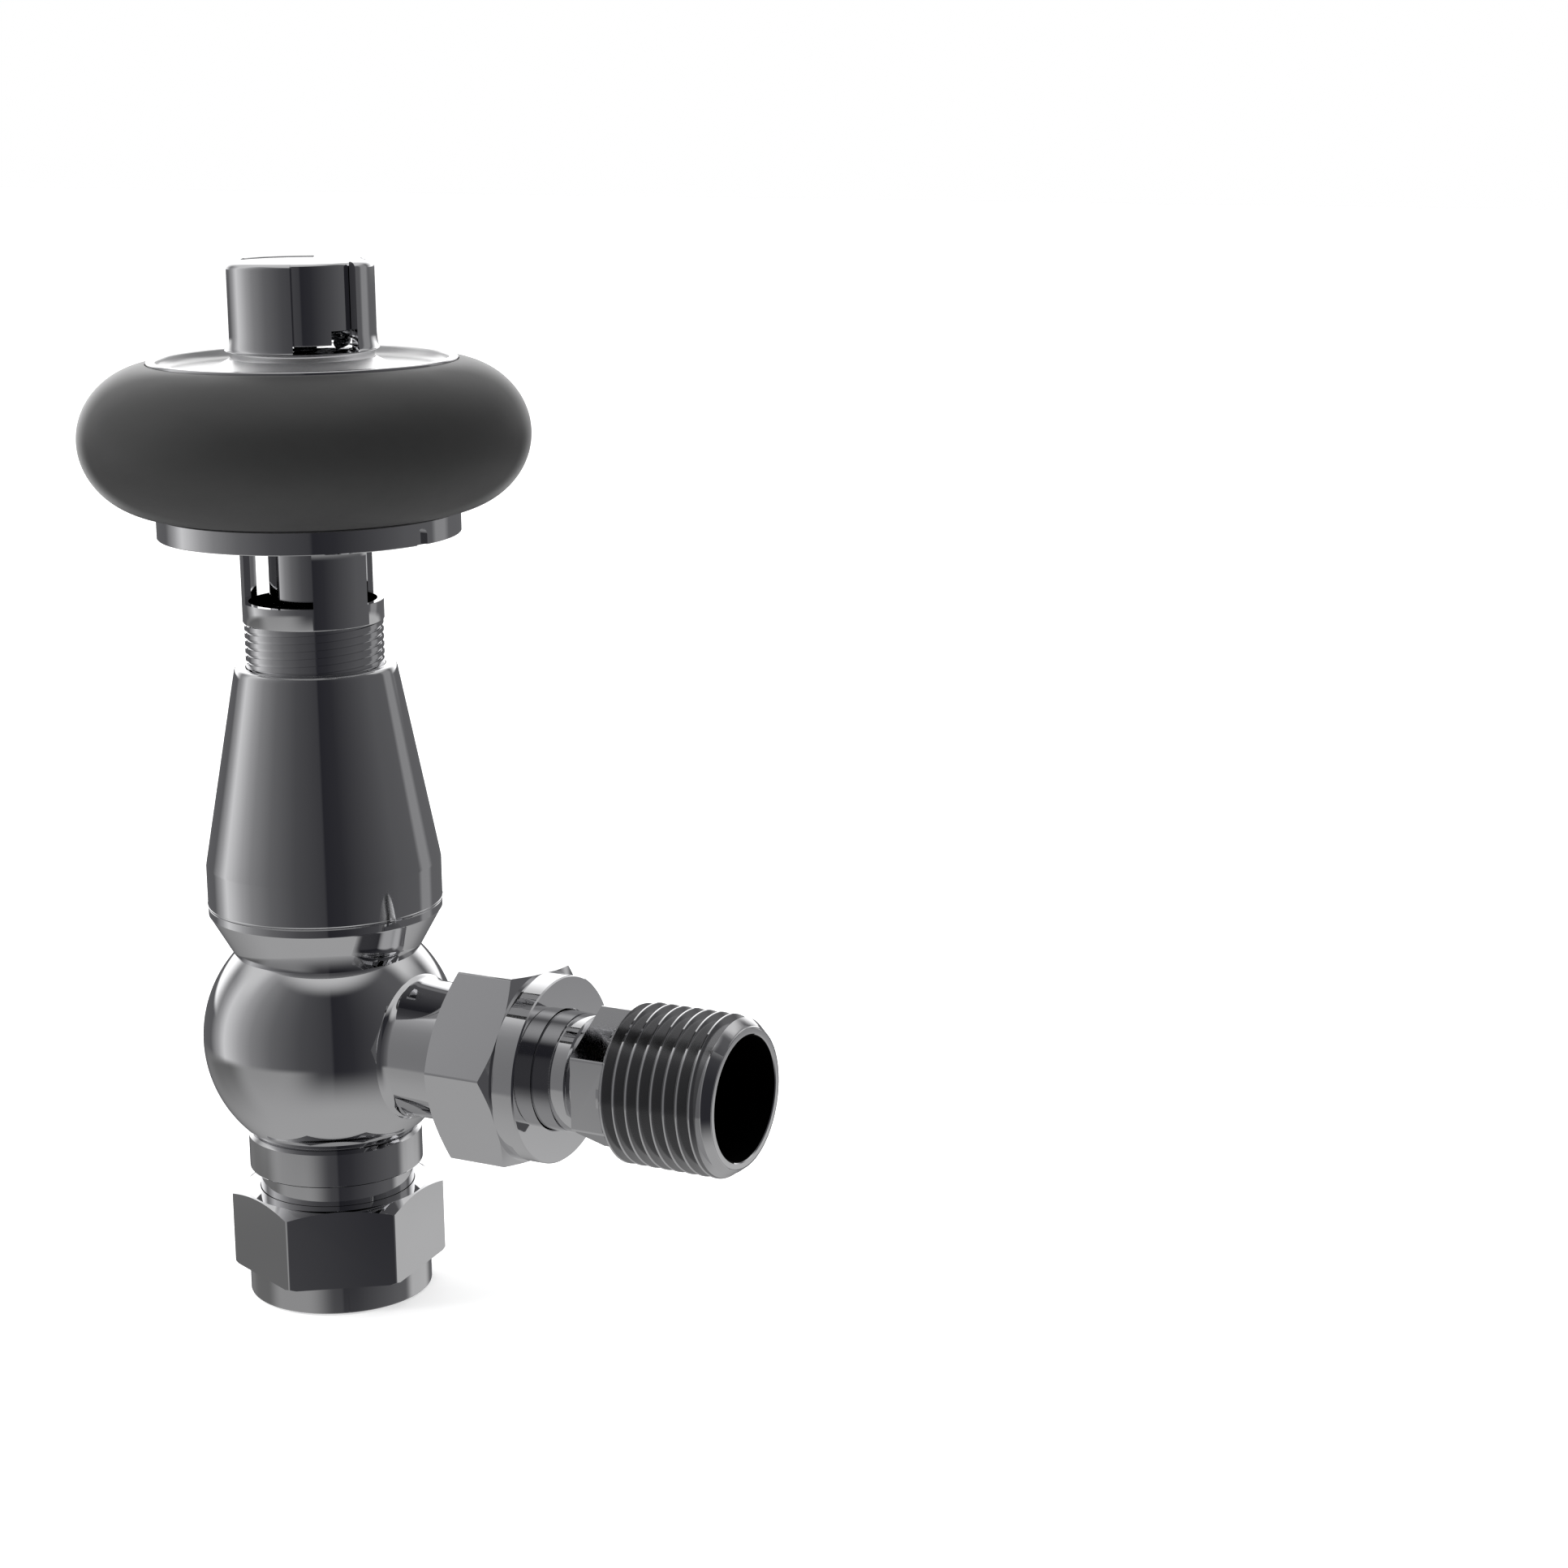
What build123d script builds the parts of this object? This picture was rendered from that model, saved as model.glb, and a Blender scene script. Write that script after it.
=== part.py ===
"""Thermostatic radiator valve, angle pattern, with a wheel-shaped sensor head.

Frame: the origin is the centre of the pipe nut's bottom face, on the spindle axis.
+Z runs up the spindle, and +X runs along the radiator tail. Millimetres.
The head is drawn fully raised, so the valve is open. Threads are drawn as plain
cylinders at their major diameter.
"""
from math import acos, degrees, sqrt

from build123d import *
import os

os.makedirs("parts", exist_ok=True)

# ---------------------------------------------------------------- driving sizes
running_gap = 0.05            # radial clearance of a thread or a running fit
valve_lift = 3.45             # spindle travel from fully open to the seat
window_count = 3              # windows in the cage, and slots in the hub sleeve
hub_cut_r = 12.0              # reach of the cutter for those windows and slots

# inlet, for 15 mm copper pipe
pipe_bore_r = 7.6
pipe_stop_z = 20.0
inlet_thread_r = 10.45
inlet_mouth_z = 7.6

# pipe nut
pipe_nut_skirt_r = 12.34
pipe_nut_skirt_top = 3.7
pipe_nut_top = 14.6
pipe_nut_across_flats = 24.9
pipe_nut_turn = 36.5          # direction of one hexagon corner, degrees from +X

# body
collar_r = 11.7
collar_low = 17.65
collar_top = 22.65
ball_r = 17.1
outlet_z = 35.7               # height of the ball's centre and of the tail's axis
neck_cone_low = 47.6
shroud_seat_r = 15.53
neck_cone_top = 53.26
shroud_seat_z = 54.4
spigot_r = 12.5
spigot_top = 60.0
seat_z = 30.6
seat_bore_r = 5.0
chamber_r = 8.6
insert_bore_r = 7.95
outlet_stub_r = 9.15
outlet_stub_end = 30.2
outlet_bore_r = 5.8

# union nut and radiator tail, measured along +X
union_nut_low = 23.5
union_nut_hex_end = 33.3
union_nut_end = 36.65
union_nut_across_flats = 24.7
union_nut_turn = 112.6        # direction of one hexagon corner, from +Y towards +Z
union_nut_collar_r = 12.35
union_shoulder = 31.5
tail_r = 7.85
tail_low = 22.4
tail_line = 39.2              # fine turned line round the tail, where it leaves the nut
tail_band_r = 7.75
tail_shoulder = 41.6
tail_neck_r = 7.05
tail_hex_low = 42.8
tail_hex_end = 47.5
tail_across_flats = 16.6
tail_thread_r = 10.478        # 1/2 inch parallel pipe thread, 20.955 mm major diameter
tail_thread_end = 61.8
tail_end = 63.6
tail_end_r = 9.15
tail_bore_r = 8.1

# valve insert and spindle
spindle_r = 2.0
insert_low = 45.0
insert_flange_r = 10.0
insert_flange_top = 62.0
insert_hex_top = 67.0
spring_chamber_r = 5.2
spring_chamber_top = 57.5
guide_top = 47.2
gland_pocket_r = 4.0
gland_pocket_low = 60.8
spindle_top = 73.0

# shroud
shroud_r = 15.57
shroud_cone_low = 60.0
shroud_top = 86.6
shroud_top_r = 10.6
shroud_thread_low = 81.2
cage_thread_r = 9.08

# cage hub
cage_bore_r = 8.4
cage_r = 9.24
cage_low = 79.0
cage_thread_top = 92.5
window_low = 95.2
window_top = 103.9
pillar_start = -53.84         # direction of one pillar's first edge, from +X
pillar_arc = 49.0
flange_r = 19.7
flange_top = 106.9
hub_ledge_z = 105.4
hub_ledge_bore_r = 6.0
index_notch_turn = -8.3
rim_screw_circle_r = 14.5
rim_screw_r = 1.2
rim_screw_head_r = 2.4
rim_screw_count = 3
rim_screw_length = 9.0

# wheel
rim_ellipse_r = 18.64         # radius and height of the centre of the rim's section
rim_ellipse_z = 116.7
rim_half_width = 10.55
rim_half_height = 9.75
rim_low = rim_ellipse_z - rim_half_height
dish_r = 20.0
dish_low = 121.45
dish_floor = 125.3
dish_rim_top = 126.7
dish_bell_r = 9.45
dish_bell_top = 126.8
hub_bore_r = 8.6
hub_lower_r = 9.28
hub_lip_r = 9.95
hub_lip_z = 127.9
hub_r = 9.62
hub_top = 139.2
hub_round = 0.9
slot_start = -60.84
slot_arc = 54.0

# sensor
capsule_neck_r = 5.6
capsule_neck_low = 79.0
push_rod_top = 104.0
capsule_r = 7.4
capsule_flange_z = 106.25
capsule_top = 128.0
push_rod_r = 1.8
cap_inner_top = 137.6
cap_wall = 1.3
cap_tongue_low = 128.8
cap_skirt_low = 130.6
cap_tongue_arc = 33.0

tail_axis = Axis((0, 0, outlet_z), (1, 0, 0))
tail_section = Plane(origin=(0, 0, outlet_z), x_dir=(1, 0, 0), z_dir=(0, -1, 0))


def across(x):
    """Plane square to the tail at x, with its local x along +Y and its local y along +Z."""
    return Plane(origin=(x, 0, outlet_z), x_dir=(0, 1, 0), z_dir=(1, 0, 0))


def corner_radius(across_flats):
    return across_flats / sqrt(3)


def sector(arc):
    """Pie slice from +X through arc degrees, wide enough to cut right through the hub."""
    with BuildSketch(mode=Mode.PRIVATE) as slice_face:
        with BuildLine():
            Line((0, 0), (hub_cut_r, 0))
            CenterArc((0, 0), hub_cut_r, 0, arc)
            Line((0, 0), Vector(hub_cut_r, 0).rotate(Axis.Z, arc))
        make_face()
    return slice_face.sketch


def write(piece, name):
    """Label a finished piece and write its STEP file."""
    piece.part.label = name
    export_step(piece.part, f"parts/{name}.step")


# ---------------------------------------------------------------- valve body
# One brass forging: threaded inlet neck, collar, ball with the seat inside, outlet
# stub, and an upper neck that opens into the seat of the shroud.
ball_bottom_r = sqrt(ball_r**2 - (outlet_z - collar_top) ** 2)
neck_low_r = sqrt(ball_r**2 - (neck_cone_low - outlet_z) ** 2)
with BuildPart() as valve_body:
    with BuildSketch(Plane.XZ):
        with BuildLine():
            Polyline(
                (0, inlet_mouth_z),
                (inlet_thread_r, inlet_mouth_z),
                (inlet_thread_r, collar_low),
                (collar_r, collar_low),
                (collar_r, collar_top - 0.4),
                (collar_r - 0.4, collar_top),
                (ball_bottom_r, collar_top),
            )
            ThreePointArc((ball_bottom_r, collar_top), (ball_r, outlet_z), (neck_low_r, neck_cone_low))
            Polyline(
                (neck_low_r, neck_cone_low),
                (shroud_seat_r, neck_cone_top),
                (shroud_seat_r, shroud_seat_z),
                (spigot_r, shroud_seat_z),
                (spigot_r, spigot_top),
                (0, spigot_top),
                (0, inlet_mouth_z),
            )
        make_face()
    revolve(axis=Axis.Z)
    with BuildSketch(across(0)):
        Circle(outlet_stub_r)
    extrude(amount=outlet_stub_end)
    # waterway: cone for the olive, pipe socket with its stop, seat bore and seat
    with BuildSketch(Plane.XZ):
        with BuildLine():
            Polyline(
                (0, inlet_mouth_z),
                (pipe_bore_r + 2.0, inlet_mouth_z),
                (pipe_bore_r, inlet_mouth_z + 2.2),
                (pipe_bore_r, pipe_stop_z),
                (pipe_bore_r - 1.1, pipe_stop_z),
                (pipe_bore_r - 1.1, 25.0),
                (seat_bore_r, 27.0),
                (seat_bore_r, seat_z),
                (seat_bore_r + 1.2, seat_z),
                (seat_bore_r + 1.2, seat_z - 0.8),
                (chamber_r, seat_z - 0.8),
                (chamber_r, insert_low - 1.0),
                (insert_bore_r, insert_low - 1.0),
                (insert_bore_r, spigot_top),
                (0, spigot_top),
                close=True,
            )
        make_face()
    revolve(axis=Axis.Z, mode=Mode.SUBTRACT)
    with BuildSketch(across(0)):
        Circle(outlet_bore_r)
    extrude(amount=outlet_stub_end, mode=Mode.SUBTRACT)
    with BuildSketch(across(tail_low - 0.4)):
        Circle(tail_r + 0.1)
    extrude(amount=outlet_stub_end, mode=Mode.SUBTRACT)
write(valve_body, "valve_body")

# ---------------------------------------------------------------- pipe nut and olive
pipe_nut_corner_r = corner_radius(pipe_nut_across_flats)
with BuildPart() as pipe_nut:
    with BuildSketch(Plane.XY.offset(pipe_nut_skirt_top)):
        RegularPolygon(radius=pipe_nut_corner_r, side_count=6, rotation=pipe_nut_turn)
    extrude(amount=pipe_nut_top - pipe_nut_skirt_top)
    with BuildSketch(Plane.XY):
        Circle(pipe_nut_skirt_r)
    extrude(amount=pipe_nut_skirt_top)
    # turned outline: chamfered corners, and the bore with its cone for the olive
    with BuildSketch(Plane.XZ):
        with BuildLine():
            Polyline(
                (pipe_bore_r, 0),
                (pipe_nut_skirt_r - 0.4, 0),
                (pipe_nut_skirt_r, 0.4),
                (pipe_nut_skirt_r, pipe_nut_skirt_top),
                (pipe_nut_corner_r - 0.5, pipe_nut_skirt_top),
                (pipe_nut_corner_r, pipe_nut_skirt_top + 0.3),
                (pipe_nut_corner_r, pipe_nut_top - 1.0),
                (pipe_nut_across_flats / 2 - 0.2, pipe_nut_top),
                (inlet_thread_r + running_gap, pipe_nut_top),
                (inlet_thread_r + running_gap, 5.4),
                (pipe_bore_r, 2.4),
                close=True,
            )
        make_face()
    revolve(axis=Axis.Z, mode=Mode.INTERSECT)
write(pipe_nut, "pipe_nut")

olive_low = 3.6
olive_top = 8.9
with BuildPart() as olive:
    with BuildSketch(Plane.XZ):
        with BuildLine():
            Polyline(
                (pipe_bore_r, olive_low),
                (pipe_bore_r + 0.5, olive_low),
                (pipe_bore_r + 1.7, olive_low + 1.4),
                (pipe_bore_r + 1.7, olive_top - 1.5),
                (pipe_bore_r + 0.5, olive_top),
                (pipe_bore_r, olive_top),
                close=True,
            )
        make_face()
    revolve(axis=Axis.Z)
write(olive, "olive")

# ---------------------------------------------------------------- union nut
union_corner_r = corner_radius(union_nut_across_flats)
with BuildPart() as union_nut:
    with BuildSketch(across(union_nut_low)):
        RegularPolygon(radius=union_corner_r, side_count=6, rotation=union_nut_turn)
    extrude(amount=union_nut_hex_end - union_nut_low)
    with BuildSketch(across(union_nut_hex_end)):
        Circle(union_nut_collar_r)
    extrude(amount=union_nut_end - union_nut_hex_end)
    with BuildSketch(tail_section):
        with BuildLine():
            Polyline(
                (union_nut_low, outlet_stub_r + running_gap),
                (union_nut_low, union_nut_across_flats / 2 - 0.2),
                (union_nut_low + 1.1, union_corner_r),
                (union_nut_hex_end - 0.9, union_corner_r),
                (union_nut_hex_end, union_nut_collar_r + 0.3),
                (union_nut_hex_end, union_nut_collar_r),
                (union_nut_end - 0.3, union_nut_collar_r),
                (union_nut_end, union_nut_collar_r - 0.3),
                (union_nut_end, tail_r + 0.1),
                (union_shoulder, tail_r + 0.1),
                (union_shoulder, outlet_stub_r + running_gap),
                close=True,
            )
        make_face()
    revolve(axis=tail_axis, mode=Mode.INTERSECT)
write(union_nut, "union_nut")

# ---------------------------------------------------------------- radiator tail
ring_groove_low = 30.4
ring_groove_end = 31.45
seal_groove_low = 24.4
seal_groove_end = 26.4
seal_groove_r = 6.55
with BuildPart() as radiator_tail:
    with BuildSketch(tail_section):
        with BuildLine():
            Polyline(
                (tail_low, outlet_bore_r),
                (tail_low, tail_r - 0.3),
                (tail_low + 0.3, tail_r),
                (seal_groove_low, tail_r),
                (seal_groove_low, seal_groove_r),
                (seal_groove_end, seal_groove_r),
                (seal_groove_end, tail_r),
                (ring_groove_low, tail_r),
                (ring_groove_low, tail_r - 0.75),
                (ring_groove_end, tail_r - 0.75),
                (ring_groove_end, tail_r),
                (tail_line, tail_r),
                (tail_line, tail_r - 0.3),
                (tail_line + 0.25, tail_r - 0.3),
                (tail_line + 0.25, tail_band_r),
                (tail_shoulder, tail_band_r),
                (tail_shoulder, tail_neck_r),
                (tail_hex_low, tail_neck_r),
                (tail_hex_end, tail_neck_r),
                (tail_hex_end, tail_thread_r - 0.8),
                (tail_hex_end + 0.8, tail_thread_r),
                (tail_thread_end, tail_thread_r),
                (tail_end, tail_end_r),
                (tail_end, tail_bore_r),
                (tail_hex_end + 3.3, tail_bore_r),
                (tail_hex_end + 1.0, outlet_bore_r),
                close=True,
            )
        make_face()
    revolve(axis=tail_axis)
    with BuildSketch(across(tail_hex_low)):
        RegularPolygon(radius=corner_radius(tail_across_flats), side_count=6, rotation=90)
        Circle(outlet_bore_r, mode=Mode.SUBTRACT)
    extrude(amount=tail_hex_end - tail_hex_low)
write(radiator_tail, "radiator_tail")

with BuildPart() as tail_snap_ring:
    with BuildSketch(across(ring_groove_low + 0.02)):
        Circle(outlet_stub_r - 0.2)
        Circle(tail_r - 0.7, mode=Mode.SUBTRACT)
        with Locations((0, -outlet_stub_r)):
            Rectangle(4.0, 6.0, mode=Mode.SUBTRACT)
    extrude(amount=1.0)
write(tail_snap_ring, "tail_snap_ring")

with BuildPart() as tail_seal:
    with BuildSketch(tail_section):
        with Locations(((seal_groove_low + seal_groove_end) / 2, 7.25)):
            Circle(0.68)
    revolve(axis=tail_axis)
write(tail_seal, "tail_seal")

# ---------------------------------------------------------------- valve insert
insert_seal_low = 48.6
insert_seal_top = 50.6
insert_seal_groove_r = 6.6
with BuildPart() as insert_housing:
    with BuildSketch(Plane.XZ):
        with BuildLine():
            Polyline(
                (spring_chamber_r, insert_low),
                (insert_bore_r - running_gap, insert_low),
                (insert_bore_r - running_gap, insert_seal_low),
                (insert_seal_groove_r, insert_seal_low),
                (insert_seal_groove_r, insert_seal_top),
                (insert_bore_r - running_gap, insert_seal_top),
                (insert_bore_r - running_gap, spigot_top),
                (insert_flange_r, spigot_top),
                (insert_flange_r, insert_flange_top),
                (7.0, insert_flange_top),
                (7.0, insert_hex_top),
                (gland_pocket_r, insert_hex_top),
                (gland_pocket_r, gland_pocket_low),
                (spindle_r + running_gap, gland_pocket_low),
                (spindle_r + running_gap, spring_chamber_top),
                (spring_chamber_r, spring_chamber_top),
                close=True,
            )
        make_face()
    revolve(axis=Axis.Z)
    with BuildSketch(Plane.XY.offset(insert_flange_top)):
        RegularPolygon(radius=8.66, side_count=6)
        Circle(gland_pocket_r, mode=Mode.SUBTRACT)
    extrude(amount=insert_hex_top - insert_flange_top)
write(insert_housing, "insert_housing")

with BuildPart() as insert_guide:
    with BuildSketch(Plane.XY.offset(insert_low + 0.2)):
        Circle(spring_chamber_r - 0.05)
        Circle(spindle_r + 0.3, mode=Mode.SUBTRACT)
        with PolarLocations(3.7, 4):
            Circle(0.6, mode=Mode.SUBTRACT)
    extrude(amount=guide_top - insert_low - 0.2)
write(insert_guide, "insert_guide")

with BuildPart() as insert_seal:
    with BuildSketch(Plane.XZ):
        with Locations((7.27, (insert_seal_low + insert_seal_top) / 2)):
            Circle(0.64)
    revolve(axis=Axis.Z)
write(insert_seal, "insert_seal")

gland_nut_low = 63.0
gland_nut_top = 69.2
with BuildPart() as gland_nut:
    with BuildSketch(Plane.XY.offset(gland_nut_low)):
        Circle(gland_pocket_r - running_gap)
    extrude(amount=insert_hex_top - gland_nut_low)
    with BuildSketch(Plane.XY.offset(insert_hex_top)):
        RegularPolygon(radius=5.2, side_count=6)
    extrude(amount=gland_nut_top - insert_hex_top)
    with BuildSketch(Plane.XY.offset(gland_nut_low)):
        Circle(spindle_r + running_gap)
    extrude(amount=gland_nut_top - gland_nut_low, mode=Mode.SUBTRACT)
write(gland_nut, "gland_nut")

with BuildPart() as gland_seal:
    with BuildSketch(Plane.XZ):
        with Locations((3.0, 61.9)):
            Circle(0.94)
    revolve(axis=Axis.Z)
write(gland_seal, "gland_seal")

# ---------------------------------------------------------------- spindle and disc
disc_face_z = seat_z + valve_lift
stud_r = 1.5
spindle_step_z = 38.0
spring_seat_low = 55.7
with BuildPart() as spindle:
    with BuildSketch(Plane.XZ):
        with BuildLine():
            Polyline(
                (0, disc_face_z - 2.3),
                (stud_r, disc_face_z - 2.3),
                (stud_r, spindle_step_z),
                (spindle_r, spindle_step_z),
                (spindle_r, spring_seat_low),
                (4.6, spring_seat_low),
                (4.6, spring_seat_low + 1.5),
                (spindle_r, spring_seat_low + 1.5),
                (spindle_r, spindle_top - 0.4),
                (spindle_r - 0.4, spindle_top),
                (0, spindle_top),
                close=True,
            )
        make_face()
    revolve(axis=Axis.Z)
write(spindle, "spindle")

with BuildPart() as disc_holder:
    with BuildSketch(Plane.XZ):
        with BuildLine():
            Polyline(
                (stud_r + 0.03, 36.3),
                (6.35, 36.3),
                (6.35, 34.9),
                (7.0, 34.9),
                (7.0, spindle_step_z - 0.5),
                (6.5, spindle_step_z),
                (stud_r + 0.03, spindle_step_z),
                close=True,
            )
        make_face()
    revolve(axis=Axis.Z)
write(disc_holder, "disc_holder")

with BuildPart() as seat_disc:
    with BuildSketch(Plane.XY.offset(disc_face_z)):
        Circle(6.3)
        Circle(stud_r + 0.03, mode=Mode.SUBTRACT)
    extrude(amount=36.3 - disc_face_z)
write(seat_disc, "seat_disc")

with BuildPart() as disc_nut:
    with BuildSketch(Plane.XY.offset(disc_face_z - 2.0)):
        RegularPolygon(radius=2.9, side_count=6)
        Circle(stud_r + 0.03, mode=Mode.SUBTRACT)
    extrude(amount=2.0)
write(disc_nut, "disc_nut")


def coil(radius, wire_r, low, top, turns):
    """Path and start plane of a compression spring between two seats."""
    height = top - low - 2 * wire_r
    path = Helix(pitch=height / turns, height=height, radius=radius, center=(0, 0, low + wire_r))
    return path, Plane(origin=path @ 0, z_dir=path % 0)


return_coil, return_coil_end = coil(3.7, 0.5, guide_top + 0.05, spring_seat_low - 0.05, 3.5)
with BuildPart() as return_spring:
    with BuildSketch(return_coil_end):
        Circle(0.5)
    sweep(path=return_coil)
write(return_spring, "return_spring")

# ---------------------------------------------------------------- shroud
shroud_skin_slope = (shroud_r - shroud_top_r) / (shroud_top - shroud_cone_low)
with BuildPart() as shroud:
    with BuildSketch(Plane.XZ):
        with BuildLine():
            Polyline(
                (spigot_r + running_gap, shroud_seat_z),
                (shroud_r + 0.08, shroud_seat_z),
                (shroud_r + 0.08, shroud_seat_z + 0.25),
                (shroud_r, shroud_seat_z + 0.25),
                (shroud_r, shroud_cone_low),
                (shroud_top_r + shroud_skin_slope, shroud_top - 1.0),
                (shroud_top_r - 0.3, shroud_top),
                (cage_thread_r + running_gap, shroud_top),
                (cage_thread_r + running_gap, shroud_thread_low),
                (10.6, shroud_thread_low),
                (spigot_r + running_gap, spigot_top + 0.3),
                close=True,
            )
        make_face()
    revolve(axis=Axis.Z)
write(shroud, "shroud")

# ---------------------------------------------------------------- cage hub
# Threaded collar, three pillars with air windows between them, and the wheel's flange,
# turned from one bar.
ring_seat_low = 79.9
ring_seat_top = 81.1
ring_seat_r = 8.75
pillar_flare = 1.5
notch_arch_r = 0.95
notch_arch_height = 1.2
notch_depth = 0.6
index_notch_plane = Plane(
    origin=Vector(flange_r, 0, window_top).rotate(Axis.Z, index_notch_turn),
    x_dir=Vector(0, 1, 0).rotate(Axis.Z, index_notch_turn),
    z_dir=Vector(1, 0, 0).rotate(Axis.Z, index_notch_turn),
)
with BuildPart() as cage_hub:
    with BuildSketch(Plane.XZ):
        with BuildLine():
            Polyline(
                (cage_bore_r, cage_low),
                (cage_thread_r, cage_low),
                (cage_thread_r, ring_seat_low),
                (ring_seat_r, ring_seat_low),
                (ring_seat_r, ring_seat_top),
                (cage_thread_r, ring_seat_top),
                (cage_thread_r, cage_thread_top),
                (cage_r, cage_thread_top + 0.1),
                (cage_r, window_top - pillar_flare),
            )
            RadiusArc(
                (cage_r, window_top - pillar_flare),
                (cage_r + pillar_flare, window_top),
                -pillar_flare,
            )
            Polyline(
                (cage_r + pillar_flare, window_top),
                (flange_r - 0.2, window_top),
                (flange_r, window_top + 0.2),
                (flange_r, flange_top),
                (hub_lower_r + 0.02, flange_top),
                (hub_lower_r + 0.02, hub_ledge_z),
                (hub_ledge_bore_r, hub_ledge_z),
                (hub_ledge_bore_r, window_top),
                (cage_bore_r, window_top),
                (cage_bore_r, cage_low),
            )
        make_face()
    revolve(axis=Axis.Z)
    with BuildSketch(Plane.XY.offset(window_low)):
        with PolarLocations(0, window_count, start_angle=pillar_start + pillar_arc):
            add(sector(360 / window_count - pillar_arc))
    extrude(amount=window_top - window_low, mode=Mode.SUBTRACT)
    # index notch in the flange's lower edge, and countersunk holes for the rim's screws
    with BuildSketch(index_notch_plane):
        with Locations((0, notch_arch_height / 2)):
            Rectangle(2 * notch_arch_r, notch_arch_height)
        with Locations((0, notch_arch_height)):
            Circle(notch_arch_r)
    extrude(amount=-notch_depth, mode=Mode.SUBTRACT)
    with BuildSketch(Plane.XY.offset(window_top)):
        with PolarLocations(rim_screw_circle_r, rim_screw_count):
            Circle(rim_screw_r + 0.05)
    extrude(amount=flange_top - window_top, mode=Mode.SUBTRACT)
    with BuildSketch(Plane.XY.offset(window_top)):
        with PolarLocations(rim_screw_circle_r, rim_screw_count):
            Circle(rim_screw_head_r + 0.05)
    extrude(amount=rim_screw_head_r, taper=45, mode=Mode.SUBTRACT)
write(cage_hub, "cage_hub")

# Split ring that stops the collar from being wound out of the shroud.
with BuildPart() as travel_stop_ring:
    with BuildSketch(Plane.XY.offset(ring_seat_low + 0.1)):
        Circle(10.2)
        Circle(ring_seat_r + 0.02, mode=Mode.SUBTRACT)
        with Locations((10, 0)):
            Rectangle(6, 3, mode=Mode.SUBTRACT)
    extrude(amount=ring_seat_top - ring_seat_low - 0.1)
write(travel_stop_ring, "travel_stop_ring")

# Countersunk cross-head screws that hold the rim to the flange from below.
with BuildPart() as rim_screw:
    with BuildSketch(Plane.XZ):
        with BuildLine():
            Polyline(
                (0, window_top),
                (rim_screw_head_r, window_top),
                (rim_screw_r, window_top + rim_screw_head_r - rim_screw_r),
                (rim_screw_r, window_top + rim_screw_length - 1.0),
                (0, window_top + rim_screw_length),
                close=True,
            )
        make_face()
    revolve(axis=Axis.Z)
    with BuildSketch(Plane.XY.offset(window_top)):
        Rectangle(2.4, 0.5)
        Rectangle(0.5, 2.4)
    extrude(amount=0.7, mode=Mode.SUBTRACT)

with BuildPart() as rim_screws:
    with PolarLocations(rim_screw_circle_r, rim_screw_count):
        add(rim_screw.part)
write(rim_screws, "rim_screws")

# ---------------------------------------------------------------- wheel
# Turned wooden rim, seated on the flange and bored out at the top for the dish.
rim_top_angle = degrees(acos((dish_r + 0.1 - rim_ellipse_r) / rim_half_width))
with BuildPart() as wheel_rim:
    with BuildSketch(Plane.XZ):
        with BuildLine():
            Line((hub_lower_r + 0.1, rim_low), (rim_ellipse_r, rim_low))
            side = EllipticalCenterArc(
                (rim_ellipse_r, rim_ellipse_z),
                rim_half_width,
                rim_half_height,
                start_angle=-90,
                arc_size=90 + rim_top_angle,
            )
            Polyline(
                side @ 1,
                (dish_r + 0.1, dish_low),
                (hub_lower_r + 0.1, dish_low),
                (hub_lower_r + 0.1, rim_low),
            )
        make_face()
    revolve(axis=Axis.Z)
    with BuildSketch(Plane.XY.offset(rim_low)):
        with PolarLocations(rim_screw_circle_r, rim_screw_count):
            Circle(rim_screw_r + 0.02)
    extrude(amount=rim_screw_length, mode=Mode.SUBTRACT)
write(wheel_rim, "wheel_rim")

# Turned metal dish: an upstanding rim, a flat floor and a bell that rises to the hub.
with BuildPart() as wheel_dish:
    with BuildSketch(Plane.XZ):
        with BuildLine():
            Polyline(
                (dish_bell_r, dish_bell_top),
                (hub_lower_r + 0.05, dish_bell_top),
                (hub_lower_r + 0.05, dish_low + 0.02),
                (dish_r, dish_low + 0.02),
                (dish_r, dish_rim_top - 0.15),
                (dish_r - 0.15, dish_rim_top),
                (dish_r - 1.0, dish_rim_top),
                (dish_r - 1.2, dish_rim_top - 0.2),
                (dish_r - 1.2, dish_floor + 1.0),
            )
            RadiusArc((dish_r - 1.2, dish_floor + 1.0), (dish_r - 2.2, dish_floor), 1.0)
            Line((dish_r - 2.2, dish_floor), (14.2, dish_floor))
            ThreePointArc((14.2, dish_floor), (12.0, 125.62), (dish_bell_r, dish_bell_top))
        make_face()
    revolve(axis=Axis.Z)
write(wheel_dish, "wheel_dish")

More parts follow.
